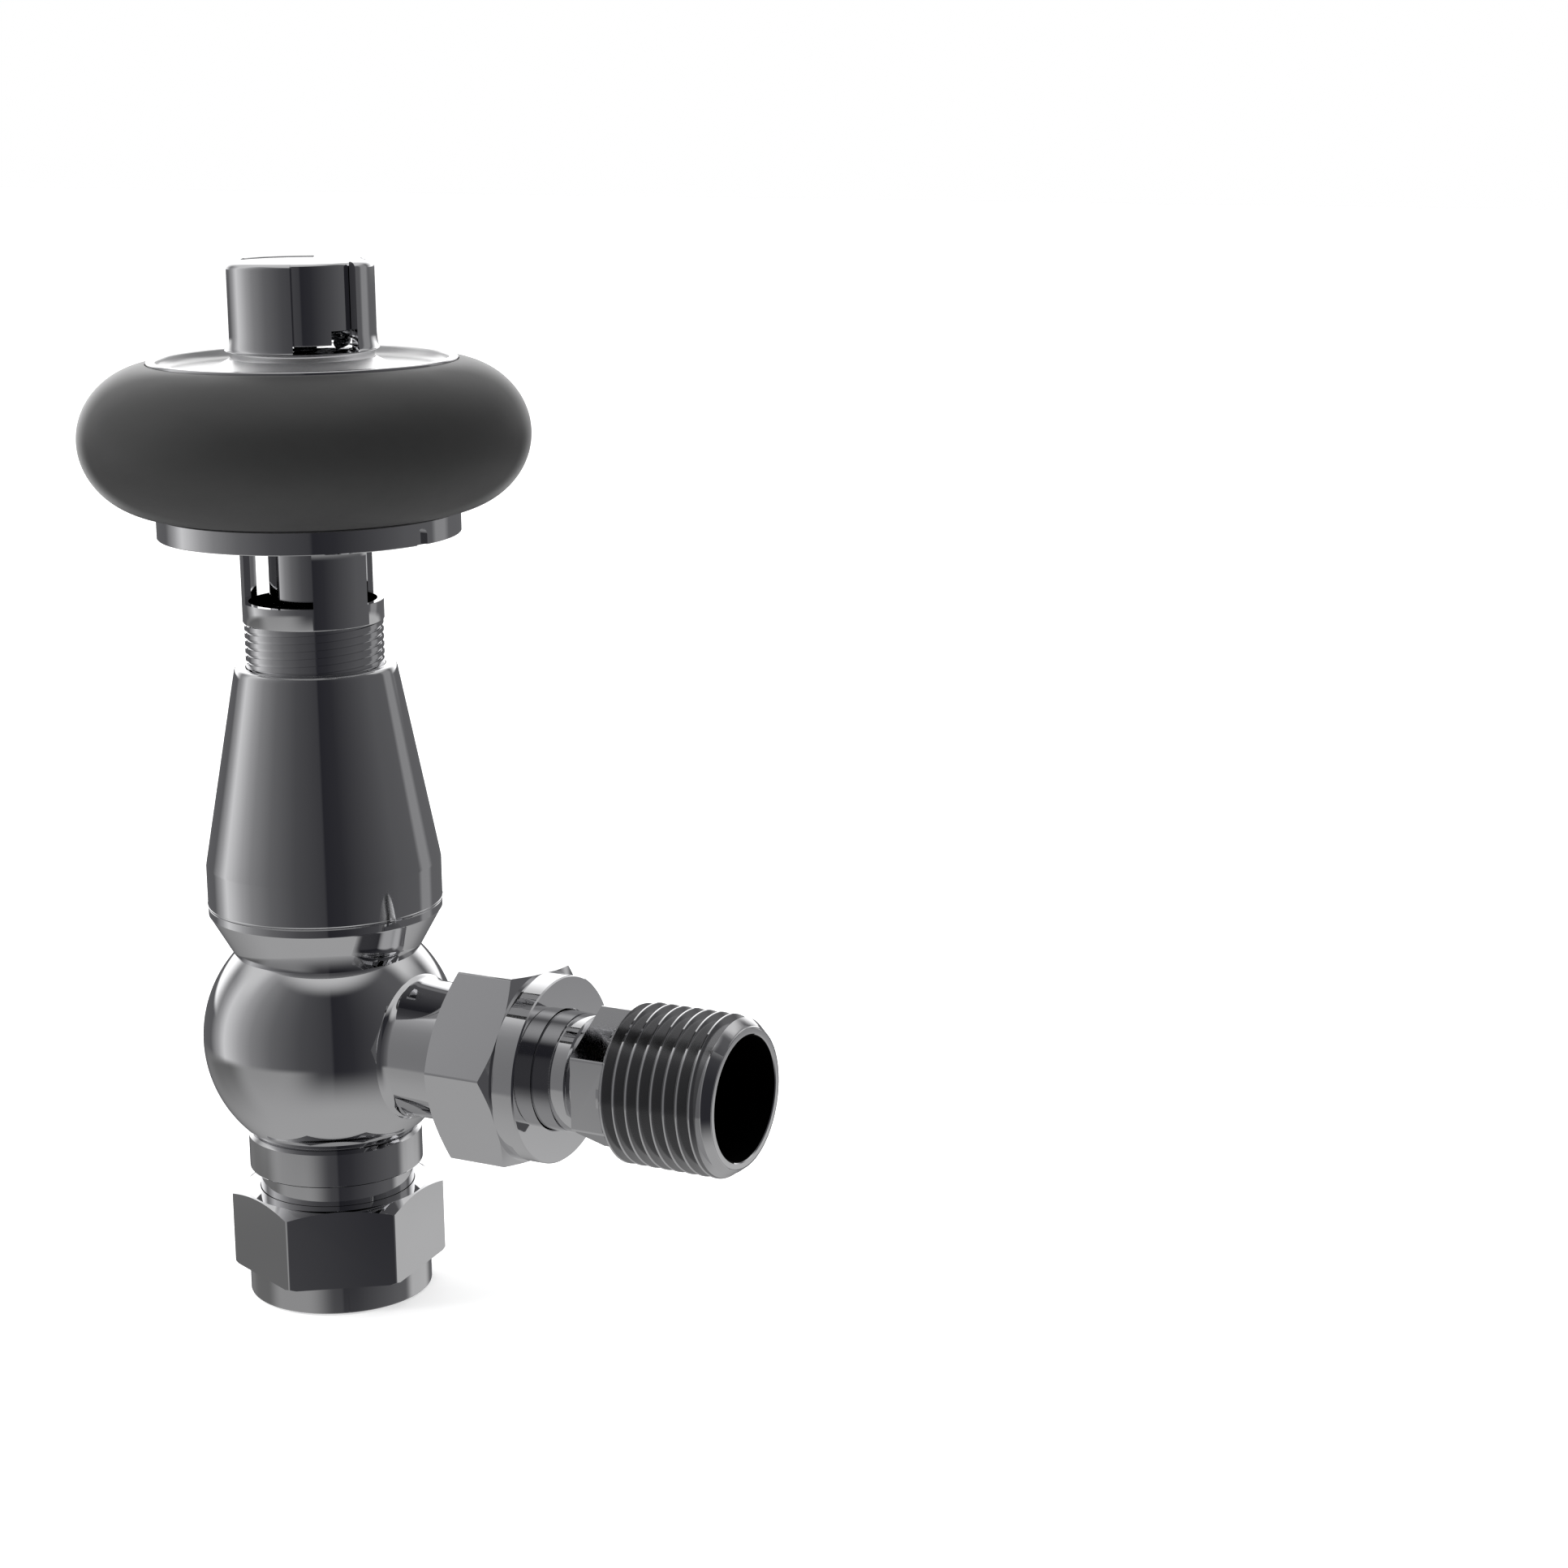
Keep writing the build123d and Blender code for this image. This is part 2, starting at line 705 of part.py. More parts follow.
# ---------------------------------------------------------------- hub sleeve and cap
with BuildPart() as hub_sleeve:
    with BuildSketch(Plane.XZ):
        with BuildLine():
            Polyline(
                (hub_r, hub_lip_z + 2.0),
                (hub_r, hub_top - hub_round),
            )
            RadiusArc((hub_r, hub_top - hub_round), (hub_r - hub_round, hub_top), -hub_round)
            Polyline(
                (hub_r - hub_round, hub_top),
                (hub_bore_r, hub_top),
                (hub_bore_r, hub_ledge_z),
                (hub_lower_r, hub_ledge_z),
                (hub_lower_r, hub_lip_z - 0.2),
                (hub_lip_r, hub_lip_z),
                (hub_lip_r, hub_lip_z + 0.15),
            )
            ThreePointArc(
                (hub_lip_r, hub_lip_z + 0.15),
                (hub_r + 0.08, hub_lip_z + 0.85),
                (hub_r, hub_lip_z + 2.0),
            )
        make_face()
    revolve(axis=Axis.Z)
    with BuildSketch(Plane.XY.offset(hub_lip_z)):
        with PolarLocations(0, window_count, start_angle=slot_start):
            add(sector(slot_arc))
    extrude(amount=hub_top - hub_lip_z, mode=Mode.SUBTRACT)
write(hub_sleeve, "hub_sleeve")

# Cap pressed into the sleeve, with a skirt that is longer over part of each slot.
with BuildPart() as hub_cap:
    with BuildSketch(Plane.XZ):
        with BuildLine():
            Polyline(
                (0, cap_inner_top),
                (hub_bore_r - cap_wall, cap_inner_top),
                (hub_bore_r - cap_wall, cap_tongue_low),
                (hub_bore_r - 0.05, cap_tongue_low),
                (hub_bore_r - 0.05, hub_top - 0.4),
                (hub_bore_r - 0.35, hub_top - 0.1),
                (0, hub_top - 0.1),
                close=True,
            )
        make_face()
    revolve(axis=Axis.Z)
    with BuildSketch(Plane.XY.offset(cap_tongue_low)):
        with PolarLocations(0, window_count, start_angle=slot_start + cap_tongue_arc):
            add(sector(360 / window_count - cap_tongue_arc))
    extrude(amount=cap_skirt_low - cap_tongue_low, mode=Mode.SUBTRACT)
write(hub_cap, "hub_cap")

# ---------------------------------------------------------------- sensor unit
# Sealed sensing capsule, carried on a washer inside the hub, with its guide neck
# reaching down through the cage.
with BuildPart() as thrust_washer:
    with BuildSketch(Plane.XY.offset(hub_ledge_z)):
        Circle(hub_bore_r - 0.1)
        Circle(hub_ledge_bore_r + 0.1, mode=Mode.SUBTRACT)
    extrude(amount=capsule_flange_z - hub_ledge_z - 0.05)
write(thrust_washer, "thrust_washer")

with BuildPart() as sensor_capsule:
    with BuildSketch(Plane.XZ):
        with BuildLine():
            Polyline(
                (push_rod_r + running_gap, capsule_neck_low),
                (capsule_neck_r - 0.5, capsule_neck_low),
                (capsule_neck_r, capsule_neck_low + 0.5),
                (capsule_neck_r, capsule_flange_z),
                (hub_bore_r - 0.2, capsule_flange_z),
                (hub_bore_r - 0.2, capsule_flange_z + 2.0),
                (capsule_r, capsule_flange_z + 2.0),
                (capsule_r, capsule_top - 1.0),
            )
            RadiusArc((capsule_r, capsule_top - 1.0), (capsule_r - 1.0, capsule_top), -1.0)
            Polyline(
                (capsule_r - 1.0, capsule_top),
                (0, capsule_top),
                (0, push_rod_top + 1.0),
                (push_rod_r + running_gap, push_rod_top + 1.0),
                (push_rod_r + running_gap, capsule_neck_low),
            )
        make_face()
    revolve(axis=Axis.Z)
write(sensor_capsule, "sensor_capsule")

with BuildPart() as push_rod:
    with BuildSketch(Plane.XY.offset(spindle_top)):
        Circle(3.0)
    extrude(amount=2.0)
    with BuildSketch(Plane.XY.offset(spindle_top + 2.0)):
        Circle(push_rod_r)
    extrude(amount=push_rod_top - spindle_top - 2.0)
write(push_rod, "push_rod")

overtravel_coil, overtravel_coil_end = coil(5.6, 0.7, capsule_top, cap_inner_top - 0.1, 4)
with BuildPart() as overtravel_spring:
    with BuildSketch(overtravel_coil_end):
        Circle(0.68)
    sweep(path=overtravel_coil)
write(overtravel_spring, "overtravel_spring")
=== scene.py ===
"""Looks of the thermostatic radiator valve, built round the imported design.

The script follows the valve as it is put together, from the pipe up to the hub. Lengths
are in metres; +Z runs up the spindle and +X along the radiator tail.
"""

from math import asin, atan2, cos, pi, radians, sin, sqrt

import bpy
from mathutils import Matrix, Vector


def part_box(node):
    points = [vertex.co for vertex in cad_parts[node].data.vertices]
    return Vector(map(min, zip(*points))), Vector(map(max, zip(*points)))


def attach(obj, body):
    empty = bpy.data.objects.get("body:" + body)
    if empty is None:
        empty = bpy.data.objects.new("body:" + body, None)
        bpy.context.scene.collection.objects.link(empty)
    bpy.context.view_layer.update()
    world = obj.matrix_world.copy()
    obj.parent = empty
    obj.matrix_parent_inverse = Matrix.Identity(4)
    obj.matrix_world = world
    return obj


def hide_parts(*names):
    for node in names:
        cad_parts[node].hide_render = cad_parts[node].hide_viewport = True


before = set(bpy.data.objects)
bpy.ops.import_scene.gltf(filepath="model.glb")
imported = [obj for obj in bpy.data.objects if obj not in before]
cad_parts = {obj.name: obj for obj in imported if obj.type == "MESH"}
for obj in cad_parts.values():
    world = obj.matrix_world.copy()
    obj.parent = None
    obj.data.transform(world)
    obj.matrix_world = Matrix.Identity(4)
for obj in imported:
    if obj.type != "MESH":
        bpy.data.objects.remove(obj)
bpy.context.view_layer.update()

# Camera: stands level with the handwheel, a little to the right of the valve's front,
# and looks slightly down on it.
eye = Vector((0.24335, -0.33299, 0.16406))
look_level = Vector((-0.46284, 0.88644, 0.0))
look_down = radians(13.03)
tilt = -0.0089
right = Vector((look_level.y, -look_level.x, 0.0))
ahead = look_level * cos(look_down) - Vector((0, 0, 1)) * sin(look_down)
above = right.cross(ahead)
level_right = right * cos(tilt) + above * sin(tilt)
level_above = above * cos(tilt) - right * sin(tilt)
camera_data = bpy.data.cameras.new("camera")
camera_data.sensor_width = 36.0
camera_data.lens = 72.22
camera_data.clip_start = 0.01
camera = bpy.data.objects.new("camera", camera_data)
bpy.context.scene.collection.objects.link(camera)
turn = Matrix((level_right, level_above, -ahead)).transposed()
camera.matrix_world = Matrix.Translation(eye) @ turn.to_4x4()
bpy.context.scene.camera = camera

# Floor: a plain pale board under the pipe nut. It gives off some light of its own, so that
# its horizon doesn't show, and it is hidden from reflections.
mm = 0.001


def clear_selection():
    """Leave nothing selected, so that an operator acts only on what is made next."""
    if bpy.context.object and bpy.context.object.mode != "OBJECT":
        bpy.ops.object.mode_set(mode="OBJECT")
    bpy.ops.object.select_all(action="DESELECT")


def new_material(name):
    """A material with a bare Principled shader, and its node tree's parts."""
    material = bpy.data.materials.new(name)
    material.use_nodes = True
    nodes, links = material.node_tree.nodes, material.node_tree.links
    return material, nodes, links, nodes["Principled BSDF"]


clear_selection()
bpy.ops.mesh.primitive_plane_add(size=6.0, location=(0, 0, -0.2 * mm))
floor = bpy.context.object
floor.name = "floor"
bpy.ops.object.transform_apply(location=True, rotation=True, scale=True)
pale, nodes, links, shader = new_material("pale_floor")
shader.inputs["Base Color"].default_value = (0.9, 0.9, 0.9, 1)
shader.inputs["Roughness"].default_value = 0.9
shader.inputs["Emission Color"].default_value = (1, 1, 1, 1)
shader.inputs["Emission Strength"].default_value = 0.55
floor.data.materials.append(pale)
floor.visible_glossy = False

# Studio: not an even light. Tones by direction were set, turned to the main camera,
# until the main view's reflections looked like the photo's. The camera itself sees white.
world = bpy.data.worlds.new("studio")
bpy.context.scene.world = world
world.use_nodes = True
nodes, links = world.node_tree.nodes, world.node_tree.links
nodes.clear()
direction = nodes.new("ShaderNodeTexCoord")
facing = nodes.new("ShaderNodeVectorRotate")
facing.rotation_type = "Z_AXIS"
facing.inputs["Angle"].default_value = -atan2(eye.y, eye.x)
links.new(direction.outputs["Generated"], facing.inputs["Vector"])
around = nodes.new("ShaderNodeTexGradient")
around.gradient_type = "RADIAL"
links.new(facing.outputs["Vector"], around.inputs["Vector"])
wall = nodes.new("ShaderNodeValToRGB")
wall.color_ramp.interpolation = "LINEAR"
# place round the room in parts of a turn, and its tone: 0.5 is the camera's side, more is
# to the camera's right, and 0 and 1 meet behind the valve
wall_tones = (
    (0.000, 0.130),
    (0.120, 0.140),
    (0.160, 0.450),
    (0.190, 0.850),
    (0.215, 0.700),
    (0.250, 0.460),
    (0.285, 0.300),
    (0.345, 0.170),
    (0.420, 0.095),
    (0.498, 0.062),
    (0.504, 0.028),
    (0.550, 0.036),
    (0.650, 0.090),
    (0.710, 0.125),
    (0.790, 0.140),
    (0.805, 0.330),
    (0.840, 0.330),
    (0.860, 0.160),
    (1.000, 0.130),
)
ramp = wall.color_ramp.elements
while len(ramp) > 1:
    ramp.remove(ramp[-1])
ramp[0].position = wall_tones[0][0]
for place, _ in wall_tones[1:]:
    ramp.new(place)
for element, (_, tone) in zip(ramp, wall_tones):
    element.color = (tone, tone, tone + 0.006, 1)
links.new(around.outputs["Fac"], wall.inputs["Fac"])
heading = nodes.new("ShaderNodeSeparateXYZ")
links.new(facing.outputs["Vector"], heading.inputs["Vector"])


def room_mask(axis, low, high):
    """Rise from none to full between two values of a part of the room's direction."""
    mask = nodes.new("ShaderNodeMapRange")
    mask.interpolation_type = "SMOOTHSTEP"
    mask.inputs["From Min"].default_value = low
    mask.inputs["From Max"].default_value = high
    links.new(heading.outputs[axis], mask.inputs["Value"])
    return mask.outputs["Result"]


def room_layer(below, mask, tone):
    """Lay an even tone over the room where the mask is full."""
    mix = nodes.new("ShaderNodeMix")
    mix.data_type = "RGBA"
    links.new(mask, mix.inputs["Factor"])
    links.new(below, mix.inputs["A"])
    mix.inputs["B"].default_value = (tone, tone, tone, 1)
    return mix.outputs["Result"]


def both(first, second):
    """The part of the room that two masks share."""
    product = nodes.new("ShaderNodeMath")
    product.operation = "MULTIPLY"
    links.new(first, product.inputs[0])
    links.new(second, product.inputs[1])
    return product.outputs[0]


low = room_mask("Z", -0.27, -0.36)
left_side = both(low, room_mask("Y", -0.15, -0.7))
left_back = both(left_side, room_mask("X", 0.1, -0.3))
right_side = both(low, both(room_mask("Y", 0.4, 0.7), room_mask("X", 0.05, -0.2)))
room = room_layer(wall.outputs["Color"], left_side, 0.38)
room = room_layer(room, left_back, 0.17)
room = room_layer(room, right_side, 0.6)
room = room_layer(room, room_mask("Z", -0.3, -0.9), 0.48)
room = room_layer(room, room_mask("Z", 0.74, 0.92), 0.7)
room = room_layer(room, both(room_mask("X", 0.0, -0.3), room_mask("Z", 0.3, 0.6)), 0.8)
room = room_layer(room, both(room_mask("X", -0.6, -0.88), room_mask("Z", -0.07, 0.0)), 1.6)
lit = nodes.new("ShaderNodeBackground")
links.new(room, lit.inputs["Color"])
sweep = nodes.new("ShaderNodeBackground")
sweep.inputs["Color"].default_value = (1, 1, 1, 1)
seen = nodes.new("ShaderNodeLightPath")
choose = nodes.new("ShaderNodeMixShader")
links.new(seen.outputs["Is Camera Ray"], choose.inputs["Fac"])
links.new(lit.outputs["Background"], choose.inputs[1])
links.new(sweep.outputs["Background"], choose.inputs[2])
output = nodes.new("ShaderNodeOutputWorld")
links.new(choose.outputs["Shader"], output.inputs["Surface"])
bpy.context.scene.view_settings.view_transform = "Standard"


def softbox(name, place, aim, width, height_, power):
    """A square lamp with a diffuser, pointed at a place on the valve."""
    lamp_data = bpy.data.lights.new(name, "AREA")
    lamp_data.shape = "RECTANGLE"
    lamp_data.size = width
    lamp_data.size_y = height_
    lamp_data.energy = power
    lamp = bpy.data.objects.new(name, lamp_data)
    bpy.context.scene.collection.objects.link(lamp)
    lamp.location = place
    lamp.rotation_euler = (Vector(aim) - Vector(place)).to_track_quat("-Z", "Y").to_euler()
    lamp.visible_glossy = False
    return lamp


softbox("overhead_softbox", (0.1, -0.1, 1.4), (0, 0, 0.08), 1.4, 1.4, 11.0)
softbox("window_softbox", (-0.9, -0.5, 0.7), (0, 0, 0.1), 0.9, 0.9, 9.0)

# Pipe nut: a forged hexagon with a turned skirt, machined from brass bar, polished and
# plated in black nickel. It turns freely on the body's inlet thread.
SEGMENTS = 360                # steps round every turned face
HEX = 60                      # steps round a turned face that crosses a hexagon
outlet_z = 35.7 * mm


def noise(nodes, links, coordinates, scale, detail=3.0, roughness=0.55):
    texture = nodes.new("ShaderNodeTexNoise")
    texture.inputs["Scale"].default_value = scale
    texture.inputs["Detail"].default_value = detail
    texture.inputs["Roughness"].default_value = roughness
    links.new(coordinates, texture.inputs["Vector"])
    return texture.outputs["Fac"]


def socket_group(name, inputs, outputs):
    """An empty shader node group with named float inputs, and its own ends."""
    group = bpy.data.node_groups.new(name, "ShaderNodeTree")
    group.interface.new_socket("Vector", in_out="INPUT", socket_type="NodeSocketVector")
    for label, value in inputs:
        socket = group.interface.new_socket(label, in_out="INPUT", socket_type="NodeSocketFloat")
        socket.default_value = value
    for label in outputs:
        group.interface.new_socket(label, in_out="OUTPUT", socket_type="NodeSocketFloat")
    return group, group.nodes.new("NodeGroupInput"), group.nodes.new("NodeGroupOutput")


def math_node(nodes, links, operation, a, b=None):
    node = nodes.new("ShaderNodeMath")
    node.operation = operation
    for socket, value in zip(node.inputs, (a, b)):
        if value is None:
            continue
        if isinstance(value, (int, float)):
            socket.default_value = value
        else:
            links.new(value, socket)
    return node.outputs[0]


# handling haze: broad dull patches with finer specks in them, between two roughnesses
haze, haze_in, haze_out = socket_group(
    "handling_haze", (("Patch", 90.0), ("Low", 0.05), ("High", 0.12)), ("Roughness",)
)
patch = haze.nodes.new("ShaderNodeTexNoise")
patch.inputs["Detail"].default_value = 5.0
haze.links.new(haze_in.outputs["Vector"], patch.inputs["Vector"])
haze.links.new(haze_in.outputs["Patch"], patch.inputs["Scale"])
spread = haze.nodes.new("ShaderNodeMapRange")
spread.inputs["From Min"].default_value = 0.35
spread.inputs["From Max"].default_value = 0.7
haze.links.new(patch.outputs["Fac"], spread.inputs["Value"])
haze.links.new(haze_in.outputs["Low"], spread.inputs["To Min"])
haze.links.new(haze_in.outputs["High"], spread.inputs["To Max"])
haze.links.new(spread.outputs["Result"], haze_out.inputs["Roughness"])

# polishing lines: hair-fine scratches that run round the piece, as a height
lines, lines_in, lines_out = socket_group(
    "polishing_lines", (("Along", 60.0), ("Across", 2500.0)), ("Height",)
)
stretch = lines.nodes.new("ShaderNodeCombineXYZ")
lines.links.new(lines_in.outputs["Along"], stretch.inputs["X"])
lines.links.new(lines_in.outputs["Along"], stretch.inputs["Y"])
lines.links.new(lines_in.outputs["Across"], stretch.inputs["Z"])
drawn = lines.nodes.new("ShaderNodeVectorMath")
drawn.operation = "MULTIPLY"
lines.links.new(lines_in.outputs["Vector"], drawn.inputs[0])
lines.links.new(stretch.outputs["Vector"], drawn.inputs[1])
scratch = lines.nodes.new("ShaderNodeTexNoise")
scratch.inputs["Scale"].default_value = 1.0
scratch.inputs["Detail"].default_value = 4.0
lines.links.new(drawn.outputs["Vector"], scratch.inputs["Vector"])
lines.links.new(scratch.outputs["Fac"], lines_out.inputs["Height"])


def metal(name, tint, low, high, patch_scale=90.0, line_depth=0.0, across=2500.0, stain=0.06):
    """A metal with tint that drifts a little, handling haze, and fine lines if it has depth."""
    material, nodes, links, shader = new_material(name)
    shader.inputs["Metallic"].default_value = 1.0
    place = nodes.new("ShaderNodeTexCoord").outputs["Object"]
    drift = nodes.new("ShaderNodeMix")
    drift.data_type = "RGBA"
    drift.inputs["A"].default_value = (*tint, 1)
    drift.inputs["B"].default_value = (*(c * (1 - stain) for c in tint), 1)
    links.new(noise(nodes, links, place, 45.0), drift.inputs["Factor"])
    links.new(drift.outputs["Result"], shader.inputs["Base Color"])
    dull = nodes.new("ShaderNodeGroup")
    dull.node_tree = haze
    dull.inputs["Patch"].default_value = patch_scale
    dull.inputs["Low"].default_value = low
    dull.inputs["High"].default_value = high
    links.new(place, dull.inputs["Vector"])
    links.new(dull.outputs["Roughness"], shader.inputs["Roughness"])
    if line_depth:
        marks = nodes.new("ShaderNodeGroup")
        marks.node_tree = lines
        marks.inputs["Across"].default_value = across
        links.new(place, marks.inputs["Vector"])
        bump = nodes.new("ShaderNodeBump")
        bump.inputs["Strength"].default_value = 0.5
        bump.inputs["Distance"].default_value = line_depth
        links.new(marks.outputs["Height"], bump.inputs["Height"])
        links.new(bump.outputs["Normal"], shader.inputs["Normal"])
    return material


black_nickel = metal("black_nickel", (0.67, 0.67, 0.68), 0.03, 0.06)


def arc(centre, radius, start, end, steps=8):
    """Points of a round corner in a turned outline; angles in degrees from outwards to up."""
    angles = [radians(start + (end - start) * i / steps) for i in range(steps + 1)]
    return [(centre[0] + radius * cos(a), centre[1] + radius * sin(a)) for a in angles]


def edit(obj, pick):
    """Go into edit mode on obj with the faces chosen by pick selected, and nothing else."""
    clear_selection()
    bpy.context.view_layer.objects.active = obj
    obj.select_set(True)
    bpy.ops.object.mode_set(mode="EDIT")
    bpy.ops.mesh.select_mode(type="FACE")
    bpy.ops.mesh.select_all(action="DESELECT")
    bpy.ops.object.mode_set(mode="OBJECT")
    for face in obj.data.polygons:
        face.select = pick(face)
    bpy.ops.object.mode_set(mode="EDIT")


def apply_modifier(obj, kind, **settings):
    """Add a modifier, set it and apply it."""
    bpy.context.view_layer.objects.active = obj
    bpy.ops.object.modifier_add(type=kind)
    modifier = obj.modifiers[-1]
    for name, value in settings.items():
        setattr(modifier, name, value)
    bpy.ops.object.modifier_apply(modifier=modifier.name)


def turned(name, outline, closed=True, segments=SEGMENTS, start=0.0):
    """Lathe work: a ring at the outline's first point, drawn out ring by ring along the rest.

    outline holds (radius, height) in millimetres. A closed outline is a tube wall, whose
    last ring is bridged to its first; an open one has its two ends filled, or left as a
    skin if closed is None.
    """
    clear_selection()
    radius, level = outline[0]
    bpy.ops.mesh.primitive_circle_add(vertices=segments, radius=radius * mm, location=(0, 0, level * mm))
    obj = bpy.context.object
    obj.name = name
    obj.rotation_euler.z = start - pi / 2
    bpy.ops.object.transform_apply(location=True, rotation=True, scale=True)
    bpy.ops.object.mode_set(mode="EDIT")
    bpy.ops.mesh.select_mode(type="VERT")
    bpy.ops.mesh.select_all(action="SELECT")
    for next_radius, next_level in outline[1:]:
        bpy.ops.mesh.extrude_edges_move(
            TRANSFORM_OT_translate={"value": (0, 0, (next_level - level) * mm)}
        )
        grow = next_radius / radius
        bpy.ops.transform.resize(value=(grow, grow, 1), center_override=(0, 0, 0))
        radius, level = next_radius, next_level
    if closed is not None:
        bpy.ops.mesh.select_all(action="DESELECT")
        bpy.ops.mesh.select_non_manifold()
        if closed:
            bpy.ops.mesh.bridge_edge_loops()
        else:
            bpy.ops.mesh.fill_holes(sides=0)
    bpy.ops.mesh.select_all(action="SELECT")
    bpy.ops.mesh.normals_make_consistent(inside=False)
    bpy.ops.object.mode_set(mode="OBJECT")
    return obj


def hexagon(name, corner_r, low, high, first_corner):
    """A bar of hexagonal section with its vertical edges just broken."""
    clear_selection()
    bpy.ops.mesh.primitive_cylinder_add(
        vertices=6, radius=corner_r * mm, depth=(high - low) * mm, location=(0, 0, (low + high) / 2 * mm)
    )
    obj = bpy.context.object
    obj.name = name
    obj.rotation_euler.z = radians(first_corner) - pi / 2
    bpy.ops.object.transform_apply(location=True, rotation=True, scale=True)
    edit(obj, lambda face: False)
    bpy.ops.mesh.select_mode(type="EDGE")
    bpy.ops.object.mode_set(mode="OBJECT")
    for edge in obj.data.edges:
        a, b = (obj.data.vertices[i].co for i in edge.vertices)
        edge.select = abs(a.z - b.z) > 1 * mm
    bpy.ops.object.mode_set(mode="EDIT")
    bpy.ops.mesh.bevel(offset=0.25 * mm, segments=3, affect="EDGES")
    bpy.ops.object.mode_set(mode="OBJECT")
    return obj


def cut(obj, other, operation):
    """Boolean work between two pieces; the second is used up."""
    clear_selection()
    obj.select_set(True)
    apply_modifier(obj, "BOOLEAN", operation=operation, object=other, solver="EXACT")
    bpy.data.objects.remove(other)
    return obj


def lay_along_tail(obj):
    """Turn a piece made about Z so that it lies about the tail's axis, high end outwards."""
    clear_selection()
    bpy.context.view_layer.objects.active = obj
    obj.select_set(True)
    obj.rotation_euler = (0, pi / 2, 0)
    obj.location = (0, 0, outlet_z)
    bpy.ops.object.transform_apply(location=True, rotation=True, scale=True)
    return obj


def finish(obj, material, slot, body, *replaced, sharp=32):
    """Shade the piece, give it its finish, and fix it to its body in the CAD nodes' place."""
    clear_selection()
    bpy.context.view_layer.objects.active = obj
    obj.select_set(True)
    bpy.ops.object.shade_smooth_by_angle(angle=radians(sharp))
    apply_modifier(obj, "WEIGHTED_NORMAL", keep_sharp=True)
    obj.data.materials.clear()
    obj.data.materials.append(material)
    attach(obj, body)
    if replaced:
        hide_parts(*replaced)
    return obj


pipe_nut_flats = 24.9
pipe_nut_corner = pipe_nut_flats / sqrt(3)
nut = hexagon("pipe_nut_plated", pipe_nut_corner, 3.7, 14.6, 36.5)
envelope = turned(
    "nut_envelope",
    [(7.6, 3.0), (pipe_nut_corner - 0.45, 3.7), (pipe_nut_corner + 0.05, 4.0),
     (pipe_nut_corner + 0.05, 13.55),
     (12.25, 14.6), (10.5, 14.6), (10.5, 5.4), (8.2, 3.0)],
)
cut(nut, envelope, "INTERSECT")
skirt = turned(
    "nut_skirt",
    [(7.6, 0.15), (7.75, 0.0)] + arc((12.14, 0.2), 0.2, -90, 0, 3)
    + [(12.34, 3.8), (10.5, 3.8), (10.4, 5.2), (7.6, 2.4)],
)
cut(nut, skirt, "UNION")
finish(nut, black_nickel, "black_nickel", "pipe_nut", "pipe_nut", sharp=15)

# Olive: a plain brass ring squeezed between the nut's cone and the body's mouth. The
# design's own ring is kept, since only its edge can be seen, from below.
brass = metal("machined_brass", (0.72, 0.52, 0.24), 0.22, 0.36, 140.0, 0.00001)


def keep_design(names, material):
    """Give the design's own pieces a finish, for pieces that stay as designed."""
    for name in names:
        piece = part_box(name) and bpy.data.objects[name]
        piece.data.materials.clear()
        piece.data.materials.append(material)


keep_design(["olive"], brass)

# Valve body: a brass forging turned all over, with a threaded inlet neck, a collar, a
# ball with the seat in it and an outlet stub. Polished and plated in black nickel.
ball_r = 17.1
ball_z = 35.7
ball_low = asin((22.65 - ball_z) / ball_r)
ball_high = asin((47.6 - ball_z) / ball_r)
ball_arc = [
    (ball_r * cos(ball_low + (ball_high - ball_low) * i / 72),
     ball_z + ball_r * sin(ball_low + (ball_high - ball_low) * i / 72))
    for i in range(73)
]
inlet_thread = []
for crest in range(4):
    base = 8.7 + crest * 1.35
    inlet_thread += [(10.0, base), (10.45, base + 0.45), (10.45, base + 0.75), (10.0, base + 1.2)]
body = turned(
    "valve_body_plated",
    [(9.6, 7.6), (10.2, 7.75), (10.4, 8.4)] + inlet_thread
    + [(10.4, 14.3), (10.4, 17.65), (11.55, 17.65), (11.7, 17.8), (11.7, 22.25), (11.3, 22.65)]
    + ball_arc
    + [(15.38, 53.1), (15.53, 53.3), (15.53, 54.25), (15.4, 54.4), (12.5, 54.4), (12.5, 59.8), (12.3, 60.0),
       (7.95, 60.0), (7.95, 44.0), (8.6, 44.0), (8.6, 29.8), (6.2, 29.8), (6.2, 30.6), (5.0, 30.6),
       (5.0, 27.0),
       (6.5, 25.0), (6.5, 20.0), (7.6, 20.0), (7.6, 9.8)],
)
outlet = lay_along_tail(turned("outlet", [(2.0, 1.0), (5.85, 1.0), (5.85, 19.0), (2.0, 19.0)], closed=False))
cut(body, outlet, "DIFFERENCE")
stub = lay_along_tail(turned(
    "stub",
    [(5.8, 9.5), (8.6, 10.5), (10.1, 13.0), (9.72, 14.14), (9.46, 14.42), (9.3, 14.75), (9.2, 15.1),
     (9.15, 15.5),
     (9.15, 29.95), (8.9, 30.2), (8.1, 30.2), (7.95, 30.0), (7.95, 22.0), (5.8, 22.0)],
))
clear_selection()
stub.select_set(True)
body.select_set(True)
bpy.context.view_layer.objects.active = body
bpy.ops.object.join()
finish(body, black_nickel, "black_nickel", "valve", "valve_body")

